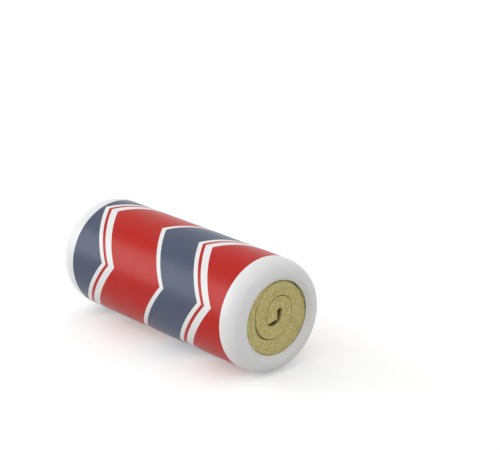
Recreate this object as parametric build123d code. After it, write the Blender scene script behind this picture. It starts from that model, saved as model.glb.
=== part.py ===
from build123d import *
import os
from math import hypot

# Insulation roll: a stone-wool mat wound up tight and held by a sleeve of packing film.
# The roll lies along X on the floor z = 0. Plus X is the end that the photo shows.

# Driving dimensions of the roll, in millimetres
mat_width = 1000.0
roll_diameter = 430.0
film_thickness = 1.0
film_clearance = 0.3

# Collar of the sleeve beyond the mat: shoulder, narrow flat to stand on, lip turned back to the mat
shoulder_length = 72.5
shoulder_height = 45.5
shoulder_end_radius = 37.5
crest_flat = 9.5
lip_radius = 17.0
lip_gap = 2.0

# Winding of the mat, seen on its ends
mat_thickness = 51.0
inner_end_thickness = 48.0
turn_gap = 3.0
gap_depth = 40.0
core_bend_radius = 12.0
core_straight = 14.3
core_offset_y = 14.0
core_offset_z = 23.2
inner_end_length = 28.2
cut_overrun = 5.0

# Angles of the winding, in degrees
inner_end_angle = 45.0
outer_end_angle = 60.0
half_turn = 180.0
quarter_turn = 90.0

# Sizes of the roll that follow from these
roll_radius = roll_diameter / 2
mat_end = mat_width / 2
half_length = mat_end + lip_gap + lip_radius
shoulder_radius = roll_radius - shoulder_height
crest_radius = shoulder_radius - crest_flat
wool_inset = film_thickness + film_clearance

# The shoulder is two tangent arcs: a wide one off the cylinder, a tight one onto the flat
arc_run = shoulder_length - shoulder_end_radius
arc_drop = shoulder_height - shoulder_end_radius
shoulder_start_radius = shoulder_end_radius + (arc_run**2 + arc_drop**2) / (2 * arc_drop)

# Pitch, gaps and half-turn centres of the winding, with the centres half a pitch apart across it
turn_pitch = mat_thickness + turn_gap
first_gap_radius = core_bend_radius + inner_end_thickness + turn_gap / 2
upper_centre = Vector(core_offset_y, core_offset_z)
lower_centre = Vector(core_offset_y - turn_pitch / 2, core_offset_z - core_straight)
winding_reach = first_gap_radius + hypot(core_offset_y, core_offset_z)
open_turns = int((shoulder_radius + shoulder_end_radius - winding_reach) / turn_pitch)


def shoulder_curves(inset):
    """Right shoulder's two arcs, from the flat to the cylinder, this far under the sleeve's outside."""
    end_centre = Vector(half_length - shoulder_end_radius, shoulder_radius)
    start_centre = Vector(half_length - shoulder_length, roll_radius - shoulder_start_radius)
    lean = (end_centre - start_centre).get_angle(Vector(1, 0))
    end = CenterArc(end_centre, shoulder_end_radius - inset, 0, lean)
    start = CenterArc(start_centre, shoulder_start_radius - inset, lean, quarter_turn - lean)
    return [end, start]


def collar_curves(inset):
    """Right collar's section from the edge of its lip to the cylinder."""
    shoulder = shoulder_curves(inset)
    lip_centre = Vector(half_length - lip_radius, crest_radius)
    lip = CenterArc(lip_centre, lip_radius - inset, -quarter_turn, quarter_turn)
    return [lip, Line(lip @ 1, shoulder[0] @ 0), *shoulder]


def turned(half_section):
    """Solid of revolution about X, from the section of its right half."""
    return revolve(half_section + mirror(half_section, about=Plane.YZ), Axis.X)


def film_wrap():
    outside = collar_curves(0)
    inside = collar_curves(film_thickness)
    outer_top = outside[-1] @ 1
    inner_top = inside[-1] @ 1
    outer_middle = Vector(0, outer_top.Y)
    inner_middle = Vector(0, inner_top.Y)
    closing = [
        Line(outer_top, outer_middle),
        Line(outer_middle, inner_middle),
        Line(inner_middle, inner_top),
        Line(inside[0] @ 0, outside[0] @ 0),
    ]
    return turned(make_face(outside + inside + closing))


def wound_body():
    """The wound mat without its core or gaps: flat ends, with the shoulder pressed into its corners."""
    shoulder = shoulder_curves(wool_inset)
    flat = shoulder[0] @ 0
    top = shoulder[-1] @ 1
    corners = [top, Vector(0, top.Y), Vector(0, 0), Vector(flat.X, 0), flat]
    under_film = make_face([*shoulder, Polyline(*corners)])
    mat_half = Rectangle(mat_end, roll_radius, align=(Align.MIN, Align.MIN))
    return turned(under_film & mat_half)


def gap_edge(offset, first_sweep):
    """One side of the gap between turns, this far from its middle line, from the core outwards."""
    first_radius = first_gap_radius - turn_pitch / 2 + offset
    edges = [CenterArc(lower_centre, first_radius, half_turn + first_sweep, -first_sweep)]
    for turn in range(open_turns + 1):
        last = turn == open_turns
        sweep = outer_end_angle if last else half_turn
        upper_radius = first_gap_radius + turn * turn_pitch + offset
        upper = CenterArc(upper_centre, upper_radius, half_turn, -sweep)
        edges += [Line(edges[-1] @ 1, upper @ 0), upper]
        if not last:
            lower = CenterArc(lower_centre, upper_radius + turn_pitch / 2, 0, -half_turn)
            edges += [Line(upper @ 1, lower @ 0), lower]
    return edges


def core_edges(floor_start, cut_foot):
    """Sides of the open core: the mat's inner end, cut at a slant, and its bend onto the next turn."""
    bend = CenterArc(upper_centre, core_bend_radius, half_turn, -half_turn)
    cut_corner = bend @ 0 - Vector(0, inner_end_length)
    return [Line(cut_foot, cut_corner), Line(cut_corner, bend @ 0), bend, Line(bend @ 1, floor_start)]


def winding_face():
    """Core and gap between turns as one outline, as they show on the ends."""
    inner = gap_edge(-turn_gap / 2, inner_end_angle)
    outer = gap_edge(turn_gap / 2, half_turn)
    outer_cap = Line(inner[-1] @ 1, outer[-1] @ 1)
    return make_face(core_edges(outer[0] @ 0, inner[0] @ 0) + inner + outer + [outer_cap])


def core_face():
    """The core alone, closed where the gap leaves it."""
    cut_foot = gap_edge(-turn_gap / 2, inner_end_angle)[0] @ 0
    floor_radius = first_gap_radius - mat_thickness / 2
    floor = CenterArc(lower_centre, floor_radius, 0, inner_end_angle - half_turn)
    return make_face(core_edges(floor @ 0, cut_foot) + [floor, Line(floor @ 1, cut_foot)])


def wool_mat():
    gap_foot = mat_end - gap_depth
    bore = extrude(Plane.YZ * core_face(), gap_foot, both=True)
    end_cut = extrude(Plane.YZ.offset(gap_foot) * winding_face(), gap_depth + cut_overrun)
    return wound_body() - bore - end_cut - mirror(end_cut, about=Plane.YZ)


os.makedirs("parts", exist_ok=True)
lying = Pos(0, 0, roll_radius)
for name, solid in {"wool_mat": wool_mat(), "film_wrap": film_wrap()}.items():
    export_step(lying * solid, f"parts/{name}.step")
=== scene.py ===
from math import atan2, ceil, cos, degrees, hypot, pi, radians, sin

import bpy
from mathutils import Matrix, Vector, noise


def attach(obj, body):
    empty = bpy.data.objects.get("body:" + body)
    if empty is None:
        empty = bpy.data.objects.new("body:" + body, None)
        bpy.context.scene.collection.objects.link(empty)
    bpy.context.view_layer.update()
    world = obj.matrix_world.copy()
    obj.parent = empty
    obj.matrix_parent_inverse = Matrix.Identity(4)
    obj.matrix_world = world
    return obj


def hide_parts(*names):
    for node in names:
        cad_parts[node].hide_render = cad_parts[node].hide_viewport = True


# Insulation roll: a wound stone-wool mat in a printed sleeve of packing film, lying along X.

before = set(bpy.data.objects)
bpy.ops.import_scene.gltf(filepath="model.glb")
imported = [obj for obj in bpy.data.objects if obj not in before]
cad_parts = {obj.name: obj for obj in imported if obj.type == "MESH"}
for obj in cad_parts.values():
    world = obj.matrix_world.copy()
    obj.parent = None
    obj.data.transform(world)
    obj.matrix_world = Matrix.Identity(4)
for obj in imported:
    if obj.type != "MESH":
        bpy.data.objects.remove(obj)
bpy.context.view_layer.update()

# Sizes of the roll in metres, as in the part
MM = 0.001
AXIS_HEIGHT = 215 * MM
ROLL_RADIUS = 215 * MM
MAT_END = 500 * MM
SHOULDER_START = 446.5 * MM
CREST_X = 519 * MM
CREST_OUTER = 169.5 * MM
SHOULDER_TIGHT = 37.5 * MM
SHOULDER_WIDE = 118.0625 * MM

# Winding of the mat, as in the part: half-turn centres (y, z) from the axis, pitch, first gap and core
UPPER_CENTRE = (14 * MM, 23.2 * MM)
LOWER_CENTRE = (-13 * MM, 8.9 * MM)
PITCH = 54 * MM
GAP_MIDDLE = 61.5 * MM
CORE_BEND = 12 * MM
CUT_CORNER_Z = -5 * MM
CUT_FOOT_ANGLE = radians(45)

# Lip of the film: a tight bend off the crest, then a straight slope in to a slightly flattened opening
CREST_INNER = 163 * MM
LIP_BEND = 6 * MM
LIP_SLOPE = radians(136)
LIP_X = 501.3 * MM
LIP_OPENING = 143.2 * MM
LIP_FLATTENING = 1.9 * MM

# Mesh and thickness of the film
FILM_AROUND = 264
HALF_CYLINDER_ROWS = 36
WIDE_ROWS = 12
TIGHT_ROWS = 16
CREST_ROWS = 6
LIP_ROWS = 8
FILM_SKIN = 0.9 * MM
FILM_EDGE_SKIN = 0.35 * MM

# Gathers of the film on its collars and tension waves between them: heights, and scales of their noise
GATHERS = 0.25 * MM
GATHERS_AROUND = 2.2
GATHERS_ALONG = 9
TENSION_WAVES = 0.22 * MM
WAVES_AROUND = 0.5
WAVES_ALONG = 3.5
WAVES_START = 7
RIPPLE_AROUND = 9
RIPPLE_SINK = 0.1 * MM

# Mesh of the mat: longest step along each turn, points across its ends, and depths of rows on its sides,
# each of which lies at least a share of its depth under the edge of the end
LAST_TURN = 3
TURN_STEPS = (2.2 * MM, 2.2 * MM, 3.3 * MM, 9 * MM)
LEAST_STEPS = 2
OUTER_END = radians(118)
ACROSS = 26
CORNER_SHARES = (0.0, 0.006, 0.018, 0.036)
SIDE_DEPTHS = (1.2 * MM, 3.5 * MM, 8 * MM, 16 * MM, 28 * MM, 48 * MM, 90 * MM)
SIDE_START = 0.3
WOOL_CLEARANCE = 1 * MM

# Degrees that the mat has turned where each kind of stretch starts, in its first turn
HALF_TURN = 180
FULL_TURN = 360
STRETCH_STARTS = {"leg": 0, "upper": 0, "right": HALF_TURN, "lower": HALF_TURN, "left": FULL_TURN}

# Gap outside the mat: width and shift off the half turns, in millimetres at degrees of winding
GAP_WIDTHS = ((0, 2.2), (45, 2.4), (95, 2.6), (140, 2.0), (185, 1.7), (230, 1.8), (275, 2.2),
              (315, 4.6), (340, 4.0), (365, 2.4), (390, 1.5), (412, 1.3), (450, 3.4), (490, 3.2),
              (520, 1.8), (548, 0.6), (640, 0.9), (720, 1.4))
GAP_SHIFTS = ((-180, 0), (-110, 1), (-50, 3), (0, -0.5), (45, -4.5), (95, -4.5), (150, -1),
              (180, 0.5), (240, 0))

# Open core: its shift off the first half turn, and where the mat's straight inner end starts to bend
CORE_SHIFT = Vector((3.2 * MM, -1.4 * MM))
CORE_FADE = 0.6 * pi
LEG_BEND_SHARE = 0.62

# Ends of the mat: edges rounded beside the gaps, and dropped under the film's lip on one side
CORE_EDGE = 0.5 * MM
CORNER_DROP = 0.2 * MM
CORNER_DROP_PER_GAP = 0.45
CORNER_WIDTH = 2.6 * MM
EDGE_DROP = 5 * MM
EDGE_DROP_RADII = (134 * MM, 142 * MM)
EDGE_DROP_TOWARDS = radians(45)

# Cut fibres on the ends: heights, and scales of their noise per metre
LUMPS = 0.6 * MM
LUMPS_SCALE = 55
LAYERS = 0.7 * MM
LAYERS_ALONG = 32
LAYERS_ACROSS = 150
GRAIN = 0.3 * MM
GRAIN_SCALE = 330
RELIEF_SINK = 0.6 * MM
RELIEF_SHIFT = 0.3
LAYERS_SHIFT = 5

# Print on the film: chevrons of ink round the roll, and the shares of their period that each ink fills
WHITE = (1, 1, 1, 1)
RED = (0.465, 0.0075, 0.0025, 1)
SLATE = (0.070, 0.087, 0.140, 1)
FILM_WHITE = (0.77, 0.77, 0.77, 1)
FILM_GREY = (0.752, 0.752, 0.755, 1)
INK_SHADE = (0.13, 0.12, 0.13, 1)
INK_THINNING = 0.09
PRINT_END = 433 * MM
CHEVRON_PERIOD = 560 * MM
CHEVRON_REACH = 82 * MM
CHEVRON_COUNT = 3
CHEVRON_TURN = radians(75)
CHEVRON_START = 262 * MM
RED_SHARES = ((0.0, 0.485), (0.905, 0.935))
SLATE_SHARES = ((0.525, 0.865),)

# Surface of the film
NOISE_ROUGHNESS = 0.55
FILM_CLOUD = dict(scale=12, detail=2, low=0.25, high=0.75)
FILM_ROUGHNESS = dict(scale=9, detail=3, low=0.3, high=0.7, least=0.28, most=0.33)
FILM_IOR = 1.5
FILM_SPECULAR = 0.14
CRUMPLE = dict(scale=26, detail=2)
CRUMPLE_STRENGTH = 0.05
CRUMPLE_HEIGHT = 10 * MM

# Colours of the wool, and the depth in the gaps over which painted shade darkens it
WOOL_DARK = (0.36, 0.315, 0.128, 1)
WOOL_PALE = (0.72, 0.625, 0.27, 1)
WOOL_SHADE = (0.42, 0.375, 0.165, 1)
WOOL_GLINT = (0.84, 0.73, 0.33, 1)
WOOL_PAINTED_SHADE = (0.085, 0.073, 0.032, 1)
PAINTED_SHADE_FROM = 3 * MM
PAINTED_SHADE_TO = 22 * MM

# Surface of the wool
FINE_STREAKS = dict(along=45, across=330, low=0.36, high=0.64)
BROAD_STREAKS = dict(along=11, across=95, low=0.40, high=0.66, most=0.45)
STREAK_DETAIL = 3
MOTTLE = dict(scale=60, detail=4, low=0.45, high=0.70, most=0.35)
SPECKS = dict(scale=190, detail=2, low=0.50, high=0.64, most=0.8)
GLINTS = dict(scale=270, detail=2, low=0.53, high=0.64, most=0.9)
WOOL_ROUGHNESS = 0.95
WOOL_SPECULAR = 0.15
FIBRES = dict(scale=700, detail=4)
FIBRE_STRENGTH = 0.5
FIBRE_HEIGHT = 2 * MM

# Floor and backdrop, each brighter where it is seen than in the light that it gives
FLOOR_REACH = 40.0
FLOOR_COLOUR = (0.75, 0.75, 0.745, 1)
FLOOR_ROUGHNESS = 0.9
FLOOR_LIFT = 0.33
SKY = 0.62
SKY_SEEN = 1.0

# Lamps: direction that each shines from, strength and spread
LAMP_DISTANCE = 5.0
SOFT_BOX = dict(direction=(-0.85, -0.49, 0.19), strength=1.75, spread=radians(46))
TOP_LIGHT = dict(direction=(-0.1, -0.1, 0.99), strength=0.87, spread=radians(90))
HIGHLIGHT = dict(direction=(-0.70, -0.665, 0.255), strength=1.58, spread=radians(46))

# Camera, as fitted to the photo
CAMERA_PLACE = Vector((4.7540, -3.9676, 2.5545))
CAMERA_RIGHT = Vector((0.67002, 0.74234, 0.0))
CAMERA_UP = Vector((-0.23994, 0.21657, 0.94632))
CAMERA_BACK = Vector((0.70250, -0.63405, 0.32322))
SENSOR_WIDTH = 36.0
LENS = 125.279
CLIP_END = 100.0


# Shared helpers
def smooth_step(low, high, value):
    """0 below low, 1 above high, and a smooth rise between them."""
    share = min(max((value - low) / (high - low), 0.0), 1.0)
    return share * share * (3 - 2 * share)


def row_faces(rows, size, closed):
    """Quads between rows of points that each go round, and from the last row to the first if closed."""
    faces = []
    for k in range(rows if closed else rows - 1):
        here = k * size
        there = (k + 1) % rows * size
        for i in range(size):
            j = (i + 1) % size
            faces.append((here + i, there + i, there + j, here + j))
    return faces


def new_object(name, points, faces, smooth=True):
    """A mesh object of these points and faces, in the CAD frame."""
    mesh = bpy.data.meshes.new(name)
    mesh.from_pydata(points, [], faces)
    mesh.validate()
    for face in mesh.polygons:
        face.use_smooth = smooth
    made = bpy.data.objects.new(name, mesh)
    bpy.context.scene.collection.objects.link(made)
    return made


# Film sleeve
def arc_points(centre, radius, start, end, rows, first=1):
    """Points (x, r) on an arc about this centre, by angles from straight outwards towards plus X."""
    made = []
    for i in range(first, rows + 1):
        angle = start + (end - start) * i / rows
        made.append((centre[0] + radius * sin(angle), centre[1] + radius * cos(angle)))
    return made


def half_profile():
    """Points (x, r) of the sleeve's outer line, from its middle to the edge of the lip at plus X."""
    line = [(SHOULDER_START * i / HALF_CYLINDER_ROWS, ROLL_RADIUS) for i in range(HALF_CYLINDER_ROWS + 1)]
    wide_centre = (SHOULDER_START, ROLL_RADIUS - SHOULDER_WIDE)
    tight_centre = (CREST_X - SHOULDER_TIGHT, CREST_OUTER)
    lip_centre = (CREST_X - LIP_BEND, CREST_INNER)
    lean = atan2(tight_centre[0] - wide_centre[0], tight_centre[1] - wide_centre[1])
    line += arc_points(wide_centre, SHOULDER_WIDE, 0, lean, WIDE_ROWS)
    line += arc_points(tight_centre, SHOULDER_TIGHT, lean, pi / 2, TIGHT_ROWS)
    line += arc_points(lip_centre, LIP_BEND, pi / 2, LIP_SLOPE, CREST_ROWS, first=0)
    bend_x, bend_r = line[-1]
    for i in range(1, LIP_ROWS + 1):
        share = i / LIP_ROWS
        line.append((bend_x + (LIP_X - bend_x) * share, bend_r + (LIP_OPENING - bend_r) * share))
    return line


def direction_at(line, i):
    """Direction of a line of points (x, r) at one of them."""
    before = line[max(i - 1, 0)]
    after = line[min(i + 1, len(line) - 1)]
    return Vector((after[0] - before[0], after[1] - before[1])).normalized()


def film_outline():
    """Outer and inner line (x, r) of the sleeve from lip to lip."""
    half = half_profile()
    outer = [(-x, r) for x, r in reversed(half[1:])] + half
    inner = []
    for i, (x, r) in enumerate(outer):
        along = direction_at(outer, i)
        edge = min(i, len(outer) - 1 - i)
        skin = FILM_EDGE_SKIN + (FILM_SKIN - FILM_EDGE_SKIN) * smooth_step(0, LIP_ROWS, edge)
        inner.append((x + along.y * skin, r - along.x * skin))
    return outer, inner


def film_ripple(x, r, angle):
    """How far the outer face stands off its line, for gathers on the collars and waves between them."""
    around = Vector((cos(angle), sin(angle), 0)) * RIPPLE_AROUND
    collar = smooth_step(SHOULDER_START, CREST_X, abs(x)) * smooth_step(LIP_OPENING, CREST_OUTER, r)
    gather = noise.noise(around * GATHERS_AROUND + Vector((0, 0, x * GATHERS_ALONG)))
    waves = noise.noise(around * WAVES_AROUND + Vector((0, 0, x * WAVES_ALONG + WAVES_START)))
    return GATHERS * collar * gather + TENSION_WAVES * (1 - collar) * waves - RIPPLE_SINK


def film_ring(line, k, rippled):
    """Points round the sleeve at one point of its line, with the opening a little lower than it is wide."""
    x, r = line[k]
    along = direction_at(line, k)
    lip = 1 - smooth_step(LIP_OPENING, CREST_INNER, r)
    ring = []
    for i in range(FILM_AROUND):
        angle = 2 * pi * i / FILM_AROUND
        off = film_ripple(x, r, angle) if rippled else 0.0
        off_x = x - along.y * off
        off_r = r + along.x * off - LIP_FLATTENING * cos(2 * angle) * lip
        ring.append((off_x, off_r * sin(angle), AXIS_HEIGHT + off_r * cos(angle)))
    return ring


def build_film():
    outer, inner = film_outline()
    inner.reverse()
    points = []
    for line, rippled in ((outer, True), (inner, False)):
        for k in range(len(line)):
            points += film_ring(line, k, rippled)
    faces = row_faces(len(outer) + len(inner), FILM_AROUND, closed=True)
    return new_object("film_sleeve", points, faces)


# Wound mat. A station is a kind of stretch, a turn, and a place on it.
def from_table(table, winding):
    """Value in metres at this winding angle of a table of angles in degrees and values in millimetres."""
    for (low, first), (high, second) in zip(table, table[1:]):
        if winding < high:
            return (first + (second - first) * smooth_step(low, high, winding)) * MM
    return table[-1][1] * MM


def gap_width(winding):
    """Width of the gap outside the mat at this winding angle, in degrees from its inner end."""
    return from_table(GAP_WIDTHS, winding)


def gap_middle(winding):
    """Radius of that gap's middle line, less a pitch for each turn before, a little shifted near the core."""
    return GAP_MIDDLE + from_table(GAP_SHIFTS, winding)


def foot_bend(place):
    """Angle by which the outer side of the straight inner end has bent in at this place on it."""
    return CUT_FOOT_ANGLE * max(0.0, 1 - place / LEG_BEND_SHARE)


def winding_angle(station):
    """Angle in degrees that the mat has turned from its inner end to this station."""
    kind, turn, place = station
    turned = 0
    if kind == "leg":
        turned = -degrees(foot_bend(place))
    if kind == "upper":
        turned = HALF_TURN - degrees(place)
    if kind == "lower":
        turned = degrees(place)
    return FULL_TURN * turn + STRETCH_STARTS[kind] + turned


def faces_at(station):
    """Radii of the mat's inner and outer face about the upper centre, less a pitch for each turn before."""
    kind, turn, place = station
    winding = winding_angle(station)
    turn_before = winding - FULL_TURN
    outer = gap_middle(winding) - gap_width(winding) / 2
    inner = gap_middle(turn_before) - PITCH + gap_width(turn_before) / 2
    if turn == 0 and kind in ("leg", "upper"):
        inner = CORE_BEND
    if turn == 0 and kind == "right":
        inner = CORE_BEND + (inner - CORE_BEND) * place
    return inner, outer


def leg_point(place, rho):
    """Place on the straight inner end of the mat, whose outer side bends in towards its slanted cut."""
    inner, outer = faces_at(("leg", 0, place))
    near = Vector((UPPER_CENTRE[0] - inner, CUT_CORNER_Z + (UPPER_CENTRE[1] - CUT_CORNER_Z) * place))
    foot_radius = outer - PITCH / 2
    bend = foot_bend(place)
    far = Vector((LOWER_CENTRE[0] - foot_radius * cos(bend), LOWER_CENTRE[1] - foot_radius * sin(bend)))
    if place > LEG_BEND_SHARE:
        rise = (place - LEG_BEND_SHARE) / (1 - LEG_BEND_SHARE)
        far.y = LOWER_CENTRE[1] + (UPPER_CENTRE[1] - LOWER_CENTRE[1]) * rise
    return near.lerp(far, (rho - inner) / (outer - inner))


def core_shift(station, rho):
    """How far the open core stands off the centre of the first half turn, less and less towards the gap."""
    kind, turn, place = station
    if turn > 0 or kind == "left":
        return Vector((0, 0))
    inner, outer = faces_at(station)
    fade = 1 - smooth_step(0, CORE_FADE, place) if kind == "lower" else 1.0
    return CORE_SHIFT * fade * (outer - rho) / (outer - inner)


def wound_place(station, rho):
    """Place (y, z) from the roll's axis of a point of the mat's section, on half turns and straights."""
    kind, turn, place = station
    far = rho + PITCH * turn
    if kind == "leg":
        return leg_point(place, rho)
    if kind == "upper":
        return Vector((UPPER_CENTRE[0] + far * cos(place), UPPER_CENTRE[1] + far * sin(place)))
    drop = LOWER_CENTRE[1] - UPPER_CENTRE[1]
    if kind == "right":
        return Vector((UPPER_CENTRE[0] + far, UPPER_CENTRE[1] + drop * place))
    far += PITCH / 2
    if kind == "lower":
        return Vector((LOWER_CENTRE[0] + far * cos(place), LOWER_CENTRE[1] - far * sin(place)))
    return Vector((LOWER_CENTRE[0] - far, LOWER_CENTRE[1] - drop * place))


def wound_point(station, rho):
    """Place (y, z) from the roll's axis of a point of the mat's section, with the core's shift."""
    return wound_place(station, rho) + core_shift(station, rho)


def wound_stations():
    """Stations along the mat from its inner end outwards."""
    middle = GAP_MIDDLE - PITCH / 2
    straight = UPPER_CENTRE[1] - LOWER_CENTRE[1]
    stretches = [("leg", 0, 0.0, 1.0, UPPER_CENTRE[1] - CUT_CORNER_Z)]
    for turn in range(LAST_TURN + 1):
        upper = middle + PITCH * turn
        stretches.append(("upper", turn, pi, 0.0, pi * upper))
        stretches.append(("right", turn, 0.0, 1.0, straight))
        sweep = pi if turn < LAST_TURN else OUTER_END
        stretches.append(("lower", turn, 0.0, sweep, sweep * (upper + PITCH / 2)))
        if turn < LAST_TURN:
            stretches.append(("left", turn, 0.0, 1.0, straight))
    made = []
    for kind, turn, start, end, length in stretches:
        count = max(LEAST_STEPS, ceil(length / TURN_STEPS[turn]))
        for i in range(count):
            made.append((kind, turn, start + (end - start) * i / count))
    return made


def film_inside(x):
    """Radius inside the sleeve at this place along the roll."""
    past = abs(x) - SHOULDER_START
    if past <= 0:
        return ROLL_RADIUS - FILM_SKIN
    turn = min(past / SHOULDER_WIDE, 1.0)
    return ROLL_RADIUS - FILM_SKIN - SHOULDER_WIDE * (1 - (1 - turn * turn) ** 0.5)


def room_outwards(place, outwards, limit):
    """How far it is from this place, in this direction, to the circle of this radius about the axis."""
    along = place.dot(outwards)
    return (along ** 2 + limit ** 2 - place.length_squared) ** 0.5 - along


def gaps_beside(station):
    """Widths of the gaps inside and outside the mat at this station."""
    kind, turn, place = station
    winding = winding_angle(station)
    inside = CORE_EDGE if turn == 0 and kind != "left" else gap_width(winding - FULL_TURN)
    return inside, gap_width(winding)


def corner_drop(share, thickness, gaps):
    """How far the mat's end is rounded off towards the gap beside it."""
    corner = min(share, 1 - share) * thickness
    gap = gaps[0] if share < 0.5 else gaps[1]
    return (CORNER_DROP + CORNER_DROP_PER_GAP * gap) * max(0.0, 1 - corner / CORNER_WIDTH) ** 2


def edge_drop(y, z):
    """How far the mat's end lies under the film's lip near the opening's edge, most at its upper right."""
    sector = max(0.0, cos(atan2(y, z) - EDGE_DROP_TOWARDS)) ** 2
    return EDGE_DROP * sector * smooth_step(*EDGE_DROP_RADII, hypot(y, z))


def end_relief(y, z, run, rho, end):
    """Fine unevenness of the cut fibres on the mat's ends."""
    place = Vector((y, z, end * RELIEF_SHIFT))
    wound = Vector((run * LAYERS_ALONG, rho * LAYERS_ACROSS, end * LAYERS_SHIFT))
    lumps = noise.noise(place * LUMPS_SCALE) * LUMPS
    layers = noise.noise(wound) * LAYERS
    grain = noise.noise(place * GRAIN_SCALE) * GRAIN
    return lumps + layers + grain - RELIEF_SINK


def section_loop():
    """Points round the mat's section: share of its thickness, end, and depth on its sides from that end."""
    corner = CORNER_SHARES[-1]
    inner_shares = [corner + (1 - 2 * corner) * i / ACROSS for i in range(1, ACROSS)]
    shares = list(CORNER_SHARES) + inner_shares + [1 - share for share in reversed(CORNER_SHARES)]
    right_side = [(1, depth) for depth in SIDE_DEPTHS]
    left_side = [(-1, depth) for depth in reversed(SIDE_DEPTHS)]
    side = right_side + [(1, MAT_END)] + left_side
    loop = [(share, 1, None) for share in shares]
    loop += [(1.0, end, depth) for end, depth in side]
    loop += [(share, -1, None) for share in reversed(shares)]
    loop += [(0.0, end, depth) for end, depth in reversed(side)]
    return loop


def section_points(station, run, loop):
    """Points of the mat's section at this station, and their places in the winding."""
    low, high = faces_at(station)
    gaps = gaps_beside(station)
    near = wound_point(station, low)
    outwards = wound_point(station, high) - near
    span = outwards.length
    outwards.normalize()

    def place(share, x):
        """Place (y, z) at this share of the mat's thickness, kept inside the film at x."""
        limit = film_inside(x) - WOOL_CLEARANCE
        return near + outwards * min(span, room_outwards(near, outwards, limit)) * share

    def end_x(share, end):
        """How far out along X the mat's end lies at this share of its thickness."""
        y, z = place(share, MAT_END)
        rho = low + (high - low) * share
        dropped = corner_drop(share, high - low, gaps) + edge_drop(y, z)
        return MAT_END - dropped + end_relief(y, z, run, rho, end)

    points = []
    winding = []
    for share, end, depth in loop:
        x = end_x(share, end)
        y, z = place(share, MAT_END)
        if depth is not None:
            x = min(MAT_END - depth, x - SIDE_START * depth)
            y, z = place(share, x)
        points.append((end * x, y, AXIS_HEIGHT + z))
        winding.append((run, low + (high - low) * share, end * x))
    return points, winding


def cap_faces(size):
    """Faces that close the mat's section, as runs of its points: one at each end and a strip between."""
    half = size // 2
    rows = len(SIDE_DEPTHS) * 2 + 1
    outer = list(range(half - rows, half))
    inner = list(range(size - 1, size - rows - 1, -1))
    right_end = list(range(half - rows)) + outer[:2] + [inner[1], inner[0]]
    left_end = outer[-2:] + list(range(half, size - rows)) + [inner[-1], inner[-2]]
    strip = [(outer[i], outer[i + 1], inner[i + 1], inner[i]) for i in range(1, rows - 2)]
    return [tuple(right_end), tuple(left_end)] + strip


def build_wool():
    stations = wound_stations()
    loop = section_loop()
    points = []
    winding = []
    run = 0.0
    last_middle = None
    for station in stations:
        middle = wound_point(station, sum(faces_at(station)) / 2)
        if last_middle is not None:
            run += (middle - last_middle).length
        last_middle = middle
        section, places = section_points(station, run, loop)
        points += section
        winding += places
    size = len(loop)
    faces = row_faces(len(stations), size, closed=False)
    start = len(points) - size
    for cap in cap_faces(size):
        faces.append(cap)
        faces.append(tuple(start + i for i in reversed(cap)))
    made = new_object("wound_mat", points, faces)
    layer = made.data.attributes.new("winding", "FLOAT_VECTOR", "POINT")
    for i, place in enumerate(winding):
        layer.data[i].vector = place
    return made


# Materials
class Nodes:
    """Short calls that add nodes to one material or world and link them."""

    def __init__(self, owner):
        owner.use_nodes = True
        self.tree = owner.node_tree

    def add(self, kind, **settings):
        node = self.tree.nodes.new(kind)
        for key, value in settings.items():
            setattr(node, key, value)
        return node

    def feed(self, source, target):
        """Link an output to this input, or set the input to a constant."""
        if isinstance(source, bpy.types.NodeSocket):
            self.tree.links.new(source, target)
        else:
            target.default_value = source

    def math(self, operation, *values):
        node = self.add("ShaderNodeMath", operation=operation)
        for value, socket in zip(values, node.inputs):
            self.feed(value, socket)
        return node.outputs["Value"]

    def between(self, value, low, high):
        """1 where the value lies from low to high, and 0 elsewhere."""
        return self.math("COMPARE", value, (low + high) / 2, (high - low) / 2)

    def mix(self, share, first, second):
        """The first colour, going over into the second by this share."""
        node = self.add("ShaderNodeMix", data_type="RGBA")
        self.feed(share, node.inputs["Factor"])
        colours = [socket for socket in node.inputs if socket.type == "RGBA"]
        self.feed(first, colours[0])
        self.feed(second, colours[1])
        return next(socket for socket in node.outputs if socket.type == "RGBA")

    def noise(self, vector, scale, detail):
        node = self.add("ShaderNodeTexNoise")
        self.feed(vector, node.inputs["Vector"])
        node.inputs["Scale"].default_value = scale
        node.inputs["Detail"].default_value = detail
        node.inputs["Roughness"].default_value = NOISE_ROUGHNESS
        return node.outputs["Fac"]

    def ramp(self, value, low, high, least=0.0, most=1.0):
        """From least to most as the value goes from low to high."""
        node = self.add("ShaderNodeMapRange")
        self.feed(value, node.inputs["Value"])
        node.inputs["From Min"].default_value = low
        node.inputs["From Max"].default_value = high
        node.inputs["To Min"].default_value = least
        node.inputs["To Max"].default_value = most
        return node.outputs["Result"]

    def patches(self, vector, scale, detail, **limits):
        """Noise as patches, from the least to the most of these limits."""
        return self.ramp(self.noise(vector, scale, detail), **limits)

    def split(self, vector):
        node = self.add("ShaderNodeSeparateXYZ")
        self.feed(vector, node.inputs["Vector"])
        return node.outputs

    def combine(self, x, y, z):
        node = self.add("ShaderNodeCombineXYZ")
        for value, socket in zip((x, y, z), node.inputs):
            self.feed(value, socket)
        return node.outputs["Vector"]

    def bump(self, height, strength, distance):
        node = self.add("ShaderNodeBump")
        node.inputs["Strength"].default_value = strength
        node.inputs["Distance"].default_value = distance
        self.feed(height, node.inputs["Height"])
        return node.outputs["Normal"]

    def seen(self):
        """1 for what the camera sees, in gloss and through glass too, and 0 for light on other things."""
        path = self.add("ShaderNodeLightPath").outputs
        seen = self.math("MAXIMUM", path["Is Camera Ray"], path["Is Glossy Ray"])
        return self.math("MAXIMUM", seen, path["Is Transmission Ray"])


def new_material(name):
    """A material, its nodes, and the inputs of its shader."""
    material = bpy.data.materials.new(name)
    nodes = Nodes(material)
    return material, nodes, nodes.tree.nodes["Principled BSDF"].inputs


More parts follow.
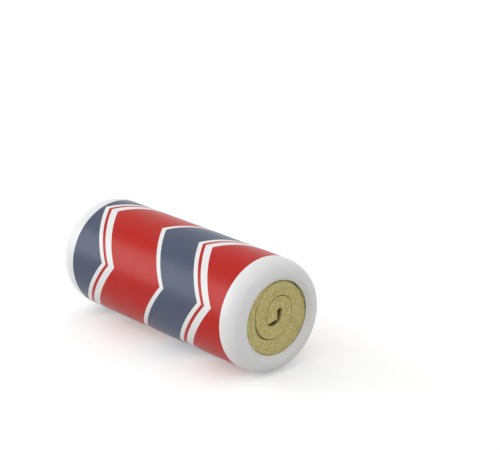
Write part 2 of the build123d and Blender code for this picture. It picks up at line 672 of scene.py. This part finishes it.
def print_colour(n, place):
    """Colour of the film: white, with chevrons of ink between its collars."""
    x, y, z = n.split(place)
    angle = n.math("ARCTAN2", y, n.math("SUBTRACT", z, AXIS_HEIGHT))
    turned = n.math("ADD", angle, CHEVRON_TURN)
    saw = n.math("PINGPONG", n.math("MULTIPLY", turned, CHEVRON_COUNT / pi), 1.0)
    shift = n.math("MULTIPLY_ADD", saw, 2 * CHEVRON_REACH, CHEVRON_START - CHEVRON_REACH)
    phase = n.math("FLOORED_MODULO", n.math("DIVIDE", n.math("ADD", x, shift), CHEVRON_PERIOD), 1.0)
    printed = n.between(x, -PRINT_END, PRINT_END)
    cloud = n.patches(place, **FILM_CLOUD)
    colour = n.mix(cloud, FILM_WHITE, FILM_GREY)
    thin = n.math("MULTIPLY", cloud, INK_THINNING)
    for ink, stripes in ((RED, RED_SHARES), (SLATE, SLATE_SHARES)):
        inked = n.mix(thin, ink, INK_SHADE)
        for stripe in stripes:
            colour = n.mix(n.math("MULTIPLY", n.between(phase, *stripe), printed), colour, inked)
    return colour


def film_material():
    material, n, shader = new_material("printed_film")
    place = n.add("ShaderNodeTexCoord").outputs["Object"]
    n.feed(print_colour(n, place), shader["Base Color"])
    n.feed(n.patches(place, **FILM_ROUGHNESS), shader["Roughness"])
    n.feed(n.bump(n.noise(place, **CRUMPLE), CRUMPLE_STRENGTH, CRUMPLE_HEIGHT), shader["Normal"])
    shader["IOR"].default_value = FILM_IOR
    shader["Specular IOR Level"].default_value = FILM_SPECULAR
    return material


def streaks(n, winding, along, across, **limits):
    """Patches drawn out along the turns of the mat."""
    run, rho, x = n.split(winding)
    stretched = n.combine(n.math("MULTIPLY", run, along),
                          n.math("MULTIPLY", rho, across),
                          n.math("MULTIPLY", x, along))
    return n.patches(stretched, scale=1, detail=STREAK_DETAIL, **limits)


def wool_colour(n, place):
    """Colour of the wool: streaks along its turns, patches and specks, and painted shade deep in the gaps."""
    winding = n.add("ShaderNodeAttribute", attribute_name="winding").outputs["Vector"]
    colour = n.mix(streaks(n, winding, **FINE_STREAKS), WOOL_DARK, WOOL_PALE)
    colour = n.mix(streaks(n, winding, **BROAD_STREAKS), colour, WOOL_PALE)
    for patches, other in ((MOTTLE, WOOL_SHADE), (SPECKS, WOOL_DARK), (GLINTS, WOOL_GLINT)):
        colour = n.mix(n.patches(place, **patches), colour, other)
    # Painted shade: the colour goes dark with depth from the mat's ends, standing in for the shade deep in
    # the gaps and the core.
    x = n.split(winding)["Z"]
    depth = n.math("SUBTRACT", MAT_END, n.math("ABSOLUTE", x))
    return n.mix(n.ramp(depth, PAINTED_SHADE_FROM, PAINTED_SHADE_TO), colour, WOOL_PAINTED_SHADE)


def wool_material():
    material, n, shader = new_material("stone_wool")
    place = n.add("ShaderNodeTexCoord").outputs["Object"]
    n.feed(wool_colour(n, place), shader["Base Color"])
    n.feed(n.bump(n.noise(place, **FIBRES), FIBRE_STRENGTH, FIBRE_HEIGHT), shader["Normal"])
    shader["Roughness"].default_value = WOOL_ROUGHNESS
    shader["Specular IOR Level"].default_value = WOOL_SPECULAR
    return material


def floor_material():
    material, n, shader = new_material("pale_floor")
    shader["Base Color"].default_value = FLOOR_COLOUR
    shader["Roughness"].default_value = FLOOR_ROUGHNESS
    shader["Specular IOR Level"].default_value = 0.0
    shader["Emission Color"].default_value = WHITE
    n.feed(n.math("MULTIPLY", n.seen(), FLOOR_LIFT), shader["Emission Strength"])
    return material


# Floor, light and camera
def build_floor():
    corners = ((-1, -1), (1, -1), (1, 1), (-1, 1))
    points = [(x * FLOOR_REACH, y * FLOOR_REACH, 0) for x, y in corners]
    return new_object("floor", points, [(0, 1, 2, 3)], smooth=False)


def build_backdrop():
    world = bpy.data.worlds.new("studio")
    n = Nodes(world)
    background = n.tree.nodes["Background"].inputs
    background["Color"].default_value = WHITE
    n.feed(n.ramp(n.seen(), 0, 1, SKY, SKY_SEEN), background["Strength"])
    bpy.context.scene.world = world


def soft_sun(name, direction, strength, spread):
    """A far soft light that shines from this direction."""
    data = bpy.data.lights.new(name, "SUN")
    data.energy = strength
    data.angle = spread
    lamp = bpy.data.objects.new(name, data)
    bpy.context.scene.collection.objects.link(lamp)
    lamp.location = Vector(direction) * LAMP_DISTANCE
    lamp.rotation_euler = Vector(direction).to_track_quat("Z", "Y").to_euler()
    return lamp


def build_lamps():
    """Two lamps that light the surfaces alone, and one that shows in the film's gloss alone."""
    soft_sun("soft_box", **SOFT_BOX).visible_glossy = False
    soft_sun("top_light", **TOP_LIGHT).visible_glossy = False
    soft_sun("highlight", **HIGHLIGHT).visible_diffuse = False


def build_camera():
    data = bpy.data.cameras.new("camera")
    data.sensor_width = SENSOR_WIDTH
    data.lens = LENS
    data.clip_end = CLIP_END
    camera = bpy.data.objects.new("camera", data)
    turned = Matrix((CAMERA_RIGHT, CAMERA_UP, CAMERA_BACK)).transposed()
    camera.matrix_world = Matrix.Translation(CAMERA_PLACE) @ turned.to_4x4()
    bpy.context.scene.collection.objects.link(camera)
    bpy.context.scene.camera = camera


# The pieces and the scene
film = build_film()
wool = build_wool()
for piece, node, slot in ((film, "film_wrap", "packing_film"), (wool, "wool_mat", "stone_wool")):
    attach(piece, "root")
    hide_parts(node)
film.data.materials.append(film_material())
wool.data.materials.append(wool_material())

floor = build_floor()
floor.data.materials.append(floor_material())
build_backdrop()
build_lamps()
build_camera()
bpy.context.scene.view_settings.view_transform = "Standard"
